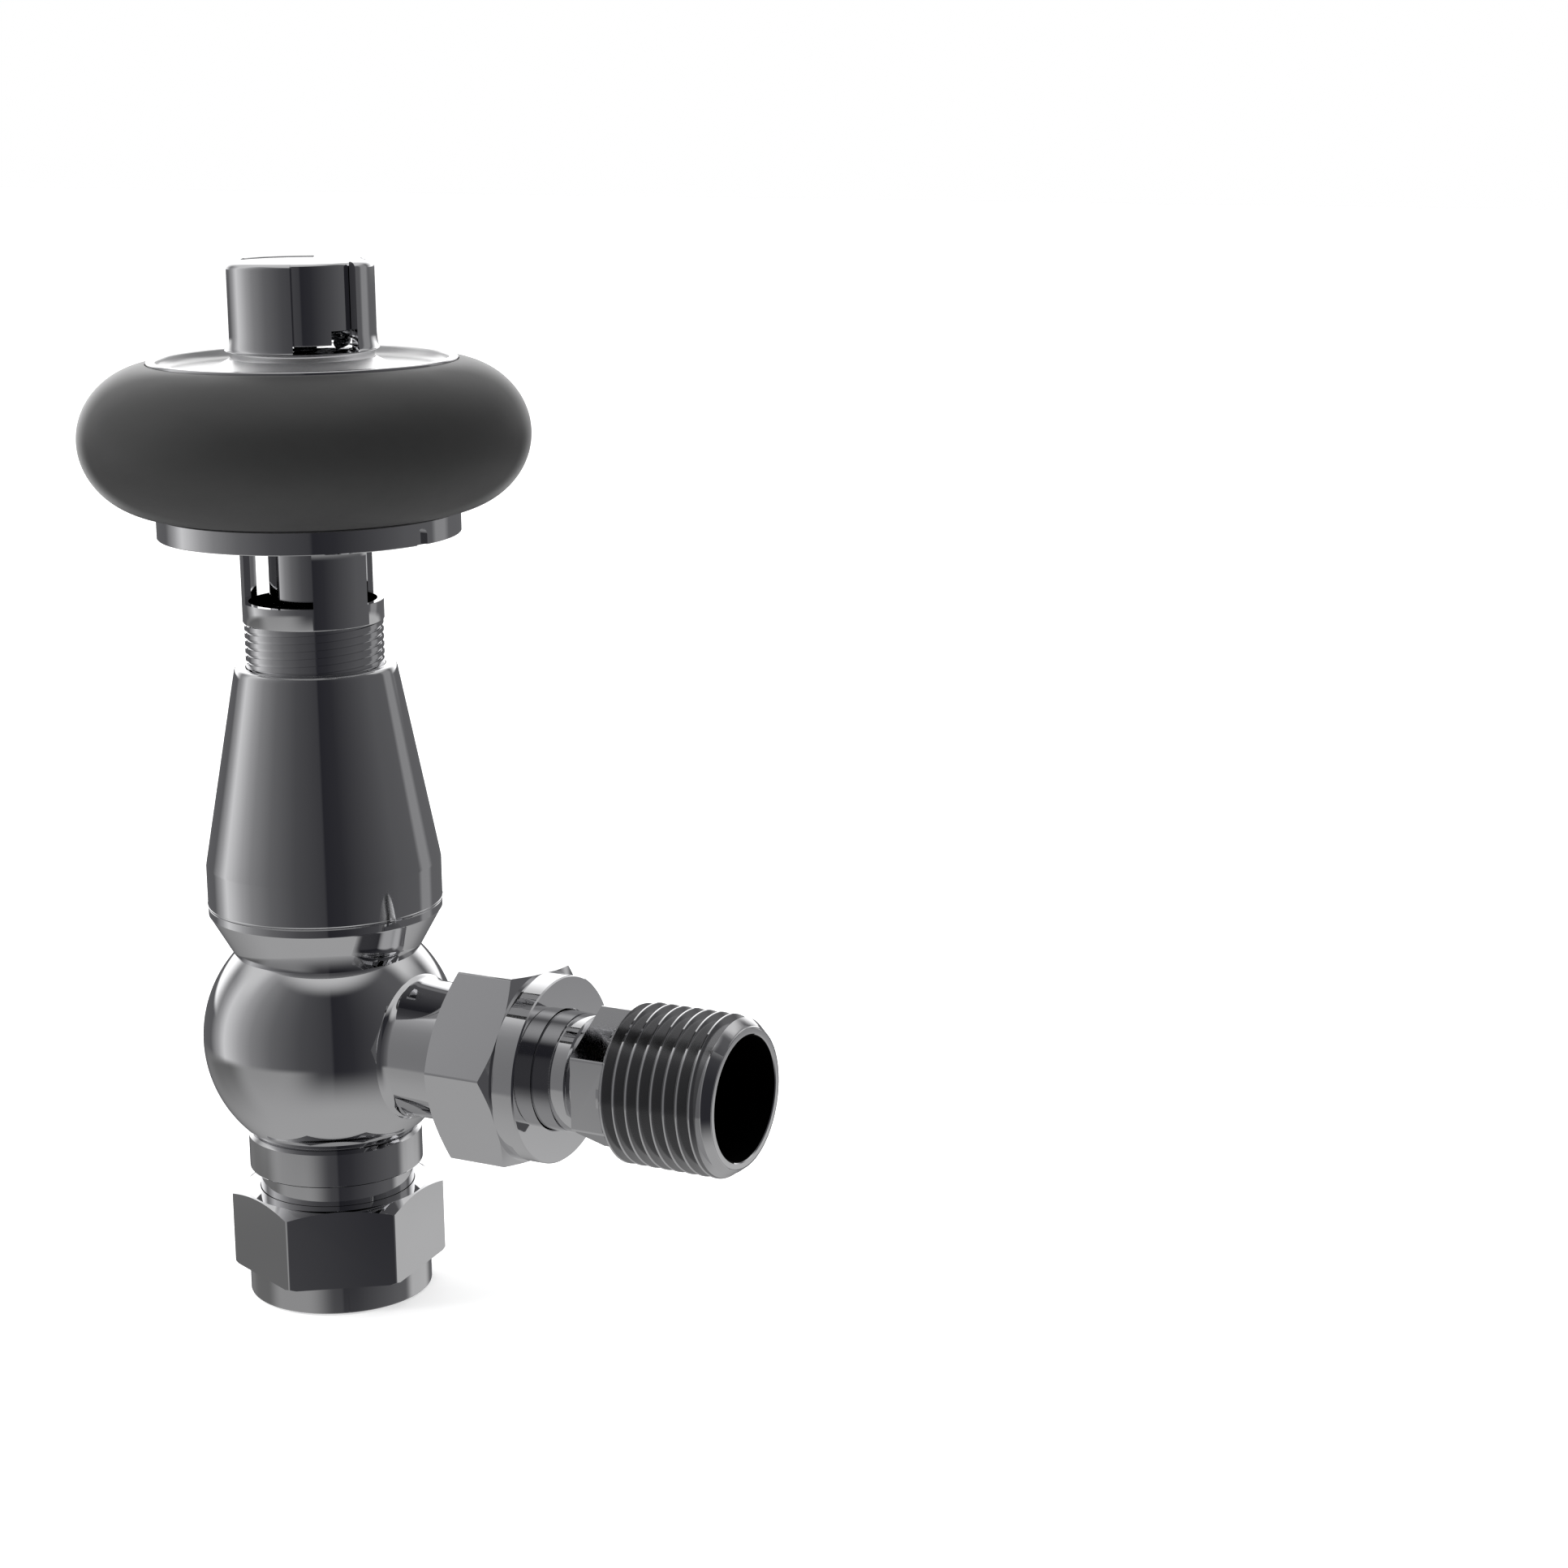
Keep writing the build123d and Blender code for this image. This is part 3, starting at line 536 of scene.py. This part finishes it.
# Union nut: a forged hexagon with a turned collar, plated like the body. It draws the
# radiator tail against the outlet stub, and spins on the stub's thread.
union_corner = 24.7 / sqrt(3)
union = hexagon("union_nut_plated", union_corner, 23.5, 33.3, 90 + 22.6 + 90)
envelope = turned(
    "union_envelope",
    [(9.2, 23.0), (12.1, 23.5), (union_corner + 0.03, 24.55), (union_corner + 0.03, 32.5), (12.65, 33.3),
     (9.2, 33.3)],
)
cut(union, envelope, "INTERSECT")
collar = turned(
    "union_collar",
    [(9.2, 33.0), (12.35, 33.0), (12.35, 36.45), (12.2, 36.65), (8.1, 36.65), (7.95, 36.5), (7.95, 31.5),
     (9.2, 31.5)],
)
cut(union, collar, "UNION")
lay_along_tail(union)
finish(union, black_nickel, "black_nickel", "union_nut", "union_nut", sharp=15)


# Radiator tail: turned from brass bar with a short hexagon and half-inch pipe thread,
# 14 turns to the inch, run out into a cone at the end. Plated, with painted shade in the bore and the
# thread's grooves.
def thread_ridge(name, profile, pitch, turns, low, start_angle=0.0, steps=96):
    """A helical ridge: a closed profile swept up and round the axis by the Screw modifier."""
    clear_selection()
    bpy.ops.mesh.primitive_circle_add(vertices=len(profile), radius=1 * mm)
    ridge = bpy.context.object
    ridge.name = name
    for vertex, (radius, level) in zip(ridge.data.vertices, profile):
        vertex.co = (radius * mm, 0, (low + level) * mm)
    apply_modifier(
        ridge, "SCREW", axis="Z", screw_offset=pitch * mm, iterations=turns, steps=steps,
        render_steps=steps, use_merge_vertices=False,
    )
    bpy.ops.object.mode_set(mode="EDIT")
    bpy.ops.mesh.select_mode(type="VERT")
    bpy.ops.mesh.select_all(action="DESELECT")
    bpy.ops.mesh.select_non_manifold()
    bpy.ops.mesh.fill_holes(sides=0)
    bpy.ops.mesh.select_all(action="SELECT")
    bpy.ops.mesh.normals_make_consistent(inside=False)
    bpy.ops.object.mode_set(mode="OBJECT")
    ridge.rotation_euler.z = start_angle
    bpy.ops.object.transform_apply(location=True, rotation=True, scale=True)
    return ridge


tail = turned(
    "radiator_tail_plated",
    [(5.8, 22.4), (7.55, 22.4), (7.85, 22.7), (7.85, 24.4), (6.55, 24.4), (6.55, 26.4), (7.85, 26.4),
     (7.85, 30.4),
     (7.1, 30.4), (7.1, 31.45), (7.85, 31.45), (7.85, 39.2), (7.55, 39.22), (7.55, 39.42), (7.75, 39.45),
     (7.75, 41.35), (7.5, 41.6), (7.05, 41.6), (7.05, 46.0), (9.18, 46.9), (9.18, 63.3), (9.1, 63.5),
     (8.95, 63.6),
     (8.3, 63.6), (8.1, 63.4), (8.1, 50.8), (5.8, 48.5)],
    segments=240,
)
ridge = thread_ridge(
    "tail_ridge", [(9.1, -0.9), (10.478, -0.1), (10.478, 0.1), (9.1, 0.9)], 1.8143, 11, 45.4, 0.4
)
cut(tail, ridge, "UNION")
envelope = turned(
    "tail_envelope",
    [(5.0, 22.0), (8.4, 22.0), (8.4, 47.2), (9.5, 47.5), (10.55, 48.5), (10.55, 61.75), (9.15, 63.58),
     (8.9, 63.6),
     (5.0, 63.6)],
)
cut(tail, envelope, "INTERSECT")
tail_hexagon = hexagon("tail_hexagon", 16.6 / sqrt(3), 42.8, 47.6, 0)
key_bore = turned("key_bore", [(5.8, 42.0), (12.0, 42.0), (12.0, 48.0), (5.8, 48.0)])
cut(tail_hexagon, key_bore, "INTERSECT")
cut(tail, tail_hexagon, "UNION")
lay_along_tail(tail)


def second_finish(name, ground, mask_from, colour, roughness):
    """A copy of a finish that gives way to another where a mask is full."""
    material = ground.copy()
    material.name = name
    nodes, links = material.node_tree.nodes, material.node_tree.links
    shader = nodes["Principled BSDF"]
    mask = mask_from(nodes, links, nodes["Texture Coordinate"].outputs["Object"])
    for socket, value in ((shader.inputs["Base Color"], colour), (shader.inputs["Roughness"], roughness)):
        before = socket.links[0].from_socket
        mix = nodes.new("ShaderNodeMix")
        mix.data_type = "RGBA" if isinstance(value, tuple) else "FLOAT"
        links.new(mask, mix.inputs["Factor"])
        links.new(before, mix.inputs["A"])
        mix.inputs["B"].default_value = value
        links.new(mix.outputs["Result"], socket)
    return material


def off_axis(nodes, links, a, b):
    """How far a place is from an axis, from its two parts across that axis."""
    squares = math_node(
        nodes, links, "ADD",
        math_node(nodes, links, "MULTIPLY", a, a),
        math_node(nodes, links, "MULTIPLY", b, b),
    )
    return math_node(nodes, links, "SQRT", squares)


def between(nodes, links, value, low, high):
    """Full while a value lies between two others."""
    return math_node(
        nodes, links, "MULTIPLY",
        math_node(nodes, links, "GREATER_THAN", value, low),
        math_node(nodes, links, "LESS_THAN", value, high),
    )


def band_of_tail(nodes, links, place, inner, outer, start, end):
    """Full between two radii and two distances along the tail, none elsewhere."""
    apart = nodes.new("ShaderNodeSeparateXYZ")
    links.new(place, apart.inputs["Vector"])
    rise = math_node(nodes, links, "SUBTRACT", apart.outputs["Z"], outlet_z)
    radius = off_axis(nodes, links, apart.outputs["Y"], rise)
    across = between(nodes, links, radius, inner * mm, outer * mm)
    along = between(nodes, links, apart.outputs["X"], start * mm, end * mm)
    return math_node(nodes, links, "MULTIPLY", across, along)


def inside_bore(nodes, links, place):
    """The tail's bore, beyond its hexagon."""
    return band_of_tail(nodes, links, place, -1.0, 8.18, 47.6, 70.0)


def inside_thread(nodes, links, place):
    """The thread's flanks and roots, but not its crests."""
    return band_of_tail(nodes, links, place, 9.0, 10.4, 47.9, 61.7)


# painted shade: the bore beyond the mouth is painted near-black and dull, and the thread's flanks and roots
# darker and rougher than its crests
painted_shade_bore = second_finish("black_nickel_bore", black_nickel, inside_bore, (0.004, 0.004, 0.004, 1), 0.6)
tail_finish_with_painted_shade = second_finish("black_nickel_thread", painted_shade_bore, inside_thread, (0.30, 0.30, 0.305, 1), 0.16)
finish(tail, tail_finish_with_painted_shade, "black_nickel", "valve", "radiator_tail", sharp=25)

# Inside the body: the insert with its spindle, disc, seals and springs, kept as
# designed. Brass and steel are bare and machined; seals are nitrile, guides nylon.
steel = metal("drawn_steel", (0.55, 0.56, 0.58), 0.16, 0.28, 160.0, 0.000005, 4000.0)


def moulded(name, tone, low, high, relief):
    """A moulded rubber or plastic: an even colour with a fine moulded grain."""
    material, nodes, links, shader = new_material(name)
    place = nodes.new("ShaderNodeTexCoord").outputs["Object"]
    shade = nodes.new("ShaderNodeMix")
    shade.data_type = "RGBA"
    shade.inputs["A"].default_value = (*tone, 1)
    shade.inputs["B"].default_value = (*(c * 0.8 for c in tone), 1)
    links.new(noise(nodes, links, place, 300.0), shade.inputs["Factor"])
    links.new(shade.outputs["Result"], shader.inputs["Base Color"])
    dull = nodes.new("ShaderNodeGroup")
    dull.node_tree = haze
    dull.inputs["Patch"].default_value = 400.0
    dull.inputs["Low"].default_value = low
    dull.inputs["High"].default_value = high
    links.new(place, dull.inputs["Vector"])
    links.new(dull.outputs["Roughness"], shader.inputs["Roughness"])
    bump = nodes.new("ShaderNodeBump")
    bump.inputs["Strength"].default_value = 0.4
    bump.inputs["Distance"].default_value = relief
    links.new(noise(nodes, links, place, 2500.0, 2.0), bump.inputs["Height"])
    links.new(bump.outputs["Normal"], shader.inputs["Normal"])
    return material


rubber = moulded("black_nitrile", (0.02, 0.02, 0.02), 0.5, 0.7, 0.00001)
nylon = moulded("white_nylon", (0.75, 0.74, 0.7), 0.35, 0.5, 0.000008)
keep_design(["insert_housing", "gland_nut", "disc_holder", "disc_nut"], brass)
keep_design(
    ["spindle", "push_rod", "return_spring", "overtravel_spring", "tail_snap_ring",
     "travel_stop_ring", "rim_screws"],
    steel,
)
keep_design(["tail_seal", "insert_seal", "gland_seal", "seat_disc"], rubber)
keep_design(["insert_guide", "thrust_washer"], nylon)

# Shroud: a turned brass cone that is screwed down over the body's neck and takes the
# head's thread. Plated to match, with a fine bead at its foot and a rounded lip.
slope = (10.6 - 15.57) / (86.6 - 60.0)
shroud = turned(
    "shroud_plated",
    [(12.55, 54.42), (15.5, 54.42), (15.64, 54.48), (15.64, 54.62), (15.57, 54.7), (15.57, 59.9)]
    + [(15.57 + slope * (z - 60.0) - (0.012 if z == 60.15 else 0), z)
       for z in (60.15, 64, 68, 72, 76, 80, 84)]
    + [(10.78, 85.6), (10.72, 85.95), (10.6, 86.3), (10.45, 86.5), (10.25, 86.6), (9.4, 86.6), (9.2, 86.5),
       (9.13, 86.35), (9.13, 81.2), (10.6, 81.2), (12.55, 60.3)],
)
finish(shroud, black_nickel, "black_nickel", "valve", "shroud")


# Cage hub: one turned piece with a threaded collar, three pillars between air windows,
# and the flange the rim sits on. The windows are milled, then the whole is plated.
def sector_block(name, inner, outer, low, high, start, sweep):
    """A block between two radii and two heights, spun through part of a turn."""
    clear_selection()
    bpy.ops.mesh.primitive_plane_add(size=1.0)
    block = bpy.context.object
    block.name = name
    block.rotation_euler = (pi / 2, 0, 0)
    block.scale = ((outer - inner) * mm, (high - low) * mm, 1)
    block.location = ((inner + outer) / 2 * mm, 0, (low + high) / 2 * mm)
    bpy.ops.object.transform_apply(location=True, rotation=True, scale=True)
    block.rotation_euler = (0, 0, radians(start))
    bpy.ops.object.transform_apply(location=True, rotation=True, scale=True)
    bpy.ops.object.mode_set(mode="EDIT")
    bpy.ops.mesh.select_all(action="SELECT")
    bpy.ops.mesh.spin(
        steps=max(6, int(sweep / 2)), angle=-radians(sweep), center=(0, 0, 0), axis=(0, 0, 1), dupli=False
    )
    bpy.ops.mesh.select_all(action="SELECT")
    bpy.ops.mesh.normals_make_consistent(inside=False)
    bpy.ops.object.mode_set(mode="OBJECT")
    return block


cage_outline = [(8.4, 79.3), (8.5, 79.0), (8.7, 79.0), (8.8, 79.2), (8.8, 79.9), (8.75, 79.9), (8.75, 81.1)]
cage_outline += [(8.8, 81.1), (8.8, 92.3), (9.15, 92.45), (9.24, 92.6), (9.24, 101.2)]
cage_outline += [(10.9 - 1.66 * cos(radians(a)), 101.2 + 2.7 * sin(radians(a))) for a in range(9, 91, 9)]
cage_outline += [(19.6, 103.9), (19.7, 104.0), (19.7, 106.75), (19.55, 106.9)]
cage_outline += [(9.3, 106.9), (9.3, 105.4), (6.0, 105.4)]
cage_outline += [(6.0, 103.9), (8.4, 103.9)]
cage = turned("cage_hub_plated", cage_outline)
for start_number in range(3):
    ridge = thread_ridge(
        "cage_ridge", [(8.7, -0.36), (9.09, -0.3), (9.09, 0.3), (8.7, 0.36)],
        3.0, 4, 81.4 - start_number, 0.9, 120
    )
    cut(cage, ridge, "UNION")
for window in range(3):
    opening = sector_block("window", 7.0, 11.2, 95.2, 103.9, -4.84 + 120 * window, 71)
    cut(cage, opening, "DIFFERENCE")
clear_selection()
bpy.ops.mesh.primitive_cylinder_add(vertices=48, radius=0.95 * mm, depth=1.2 * mm, location=(0, 0, 0))
notch = bpy.context.object
notch.rotation_euler = (0, pi / 2, 0)
notch.location = (19.7 * mm, 0, 105.1 * mm)
bpy.ops.object.transform_apply(location=True, rotation=True, scale=True)
clear_selection()
bpy.ops.mesh.primitive_cube_add(
    size=1.0, location=(19.7 * mm, 0, 104.4 * mm), scale=(1.2 * mm, 1.9 * mm, 1.4 * mm)
)
notch_leg = bpy.context.object
cut(notch, notch_leg, "UNION")
notch.rotation_euler = (0, 0, radians(-8.3))
clear_selection()
notch.select_set(True)
bpy.context.view_layer.objects.active = notch
bpy.ops.object.transform_apply(location=True, rotation=True, scale=True)
cut(cage, notch, "DIFFERENCE")
for screw in range(3):
    seat = turned(
        "screw_seat", [(0.3, 103.85), (2.5, 103.85), (1.25, 105.15), (1.25, 107.0), (0.3, 107.0)], False, 48
    )
    seat.location = (14.5 * mm * cos(2 * pi / 3 * screw), 14.5 * mm * sin(2 * pi / 3 * screw), 0)
    cut(cage, seat, "DIFFERENCE")
finish(cage, black_nickel, "black_nickel", "wheel", "cage_hub")

# Handwheel rim: a wooden ring turned to a rounded section, stained black and finished
# in satin lacquer. It is screwed to the flange from below.
rim_side = [
    (18.64 + 10.55 * cos(radians(a)), 116.7 + 9.75 * sin(radians(a)))
    for a in [-90 + 172.04 * i / 96 for i in range(97)]
]
rim = turned(
    "wheel_rim_lacquered",
    [(9.4, 107.05), (9.5, 106.95)] + rim_side + [(20.1, 126.2), (20.1, 121.45), (9.38, 121.45)],
)
lacquer, nodes, links, shader = new_material("black_lacquered_wood_painted_sheen")
place = nodes.new("ShaderNodeTexCoord").outputs["Object"]
grain_map = nodes.new("ShaderNodeMapping")
grain_map.inputs["Scale"].default_value = (40, 400, 400)
links.new(place, grain_map.inputs["Vector"])
grain = noise(nodes, links, grain_map.outputs["Vector"], 1.0, 6.0, 0.6)
stain = nodes.new("ShaderNodeMix")
stain.data_type = "RGBA"
stain.inputs["A"].default_value = (0.024, 0.024, 0.024, 1)
stain.inputs["B"].default_value = (0.029, 0.029, 0.029, 1)
links.new(grain, stain.inputs["Factor"])
# The colour itself is mixed paler towards the outline as seen, except underneath. That is
# painted by where the viewer stands, set to match the photo; it isn't a gloss.
# Painted sheen: this paler outline stands in for the satin lacquer's sheen, and is not a colour of the wood.
edge = nodes.new("ShaderNodeLayerWeight")
edge.inputs["Blend"].default_value = 0.5
rise = nodes.new("ShaderNodeMapRange")
rise.interpolation_type = "SMOOTHSTEP"
rise.inputs["From Min"].default_value = 0.70
rise.inputs["From Max"].default_value = 1.0
links.new(edge.outputs["Facing"], rise.inputs["Value"])
lean = nodes.new("ShaderNodeSeparateXYZ")
links.new(nodes.new("ShaderNodeNewGeometry").outputs["Normal"], lean.inputs["Vector"])
above_foot = nodes.new("ShaderNodeMapRange")
above_foot.interpolation_type = "SMOOTHSTEP"
above_foot.inputs["From Min"].default_value = -0.95
above_foot.inputs["From Max"].default_value = -0.6
links.new(lean.outputs["Z"], above_foot.inputs["Value"])
painted_sheen = nodes.new("ShaderNodeMix")
painted_sheen.data_type = "RGBA"
painted_sheen_mask = math_node(nodes, links, "MULTIPLY", rise.outputs["Result"], above_foot.outputs["Result"])
links.new(painted_sheen_mask, painted_sheen.inputs["Factor"])
links.new(stain.outputs["Result"], painted_sheen.inputs["A"])
painted_sheen.inputs["B"].default_value = (0.32, 0.32, 0.32, 1)
links.new(painted_sheen.outputs["Result"], shader.inputs["Base Color"])
dull = nodes.new("ShaderNodeGroup")
dull.node_tree = haze
dull.inputs["Low"].default_value = 0.48
dull.inputs["High"].default_value = 0.54
links.new(place, dull.inputs["Vector"])
links.new(dull.outputs["Roughness"], shader.inputs["Roughness"])
bump = nodes.new("ShaderNodeBump")
bump.inputs["Strength"].default_value = 0.15
bump.inputs["Distance"].default_value = 0.00001
links.new(grain, bump.inputs["Height"])
links.new(bump.outputs["Normal"], shader.inputs["Normal"])
finish(rim, lacquer, "black_wood", "wheel", "wheel_rim")

# Dish: a shallow turned metal bowl let into the top of the rim, with an upstanding edge
# and a bell that rises to the hub. Polished and plated.
bell_a, bell_b, bell_c = (14.2, 125.3), (12.0, 125.62), (9.45, 126.8)
ab = Vector(bell_b) - Vector(bell_a)
ac = Vector(bell_c) - Vector(bell_a)
cross = 2 * (ab.x * ac.y - ab.y * ac.x)
bell_centre = Vector(bell_a) + Vector(
    (ac.y * ab.length_squared - ab.y * ac.length_squared, ab.x * ac.length_squared - ac.x * ab.length_squared)
) / cross
bell_r = (Vector(bell_a) - bell_centre).length
bell_from = atan2(bell_a[1] - bell_centre.y, bell_a[0] - bell_centre.x)
bell_to = atan2(bell_c[1] - bell_centre.y, bell_c[0] - bell_centre.x)
if bell_to - bell_from > pi:
    bell_to -= 2 * pi
if bell_from - bell_to > pi:
    bell_to += 2 * pi
bell = [
    (bell_centre.x + bell_r * cos(bell_from + (bell_to - bell_from) * i / 24),
     bell_centre.y + bell_r * sin(bell_from + (bell_to - bell_from) * i / 24))
    for i in range(25)
]
dish = turned(
    "wheel_dish_plated",
    [(9.33, 121.47), (20.0, 121.47), (20.0, 126.5), (19.95, 126.62), (19.85, 126.7), (19.0, 126.7),
     (18.87, 126.62),
     (18.8, 126.5)] + arc((17.8, 126.3), 1.0, 0, -90) + bell + [(9.33, 126.75)],
)


def inside_dish(nodes, links, place):
    """The dish's floor, bell and inner wall, but not its edge."""
    apart = nodes.new("ShaderNodeSeparateXYZ")
    links.new(place, apart.inputs["Vector"])
    radius = off_axis(nodes, links, apart.outputs["X"], apart.outputs["Y"])
    return math_node(nodes, links, "LESS_THAN", radius, 18.95 * mm)


# painted reflection: the inside is coloured paler than the edge, standing in for the bright surroundings it
# reflects, and it has a rougher, satin finish
painted_reflection_inside = second_finish(
    "black_nickel_pale_inside", black_nickel, inside_dish, (0.93, 0.93, 0.93, 1), 0.34
)
finish(dish, painted_reflection_inside, "black_nickel", "wheel", "wheel_dish")

# Hub sleeve: a thin plated tube with a flared foot, slit by three wide slots that
# stop at the foot.
sleeve = turned(
    "hub_sleeve_plated",
    [(8.6, 105.45), (9.23, 105.4), (9.28, 105.5), (9.28, 127.65), (9.9, 127.87), (9.95, 127.93),
     (9.95, 128.0),
     (9.88, 128.1), (9.8, 128.3), (9.74, 128.6), (9.7, 128.9), (9.65, 129.4), (9.62, 129.9)]
    + [(9.62, 138.3)] + arc((8.72, 138.3), 0.9, 15, 78, 6) + [(8.72, 139.2), (8.65, 139.15), (8.6, 139.05)],
)
for slot_number in range(3):
    slit = sector_block("slit", 7.5, 11.0, 127.9, 140.0, -60.84 + 120 * slot_number, 54)
    cut(sleeve, slit, "DIFFERENCE")
finish(sleeve, black_nickel, "black_nickel", "wheel", "hub_sleeve")

# Hub cap: a plated cup pressed into the sleeve, its skirt longer behind part of each
# slot, so that daylight shows through the rest.
cap = turned(
    "hub_cap_plated",
    [(1.0, 137.6), (7.25, 137.6), (7.25, 128.8), (8.45, 128.8), (8.5, 128.9), (8.5, 138.6), (8.42, 138.85),
     (8.2, 139.05), (8.0, 139.1), (1.0, 139.1)],
    closed=False,
)
for slot_number in range(3):
    relief = sector_block("relief", 6.8, 9.0, 128.0, 130.6, -27.84 + 120 * slot_number, 87)
    cut(cap, relief, "DIFFERENCE")
finish(cap, black_nickel, "black_nickel", "wheel", "hub_cap")

# Sensing capsule: a sealed cup of wax with a long neck down through the cage, where it
# shows between the pillars. Plated outside.
capsule = turned(
    "sensor_capsule_plated",
    [(0.9, 105.0), (1.85, 105.0), (1.85, 79.0), (5.1, 79.0), (5.6, 79.5), (5.6, 106.25), (8.3, 106.25),
     (8.4, 106.35),
     (8.4, 108.15), (8.3, 108.25), (7.4, 108.25), (7.4, 127.0)]
    + arc((6.4, 127.0), 1.0, 10, 90) + [(0.9, 128.0)],
    closed=False,
)
finish(capsule, black_nickel, "black_nickel", "sensor_unit", "sensor_capsule")
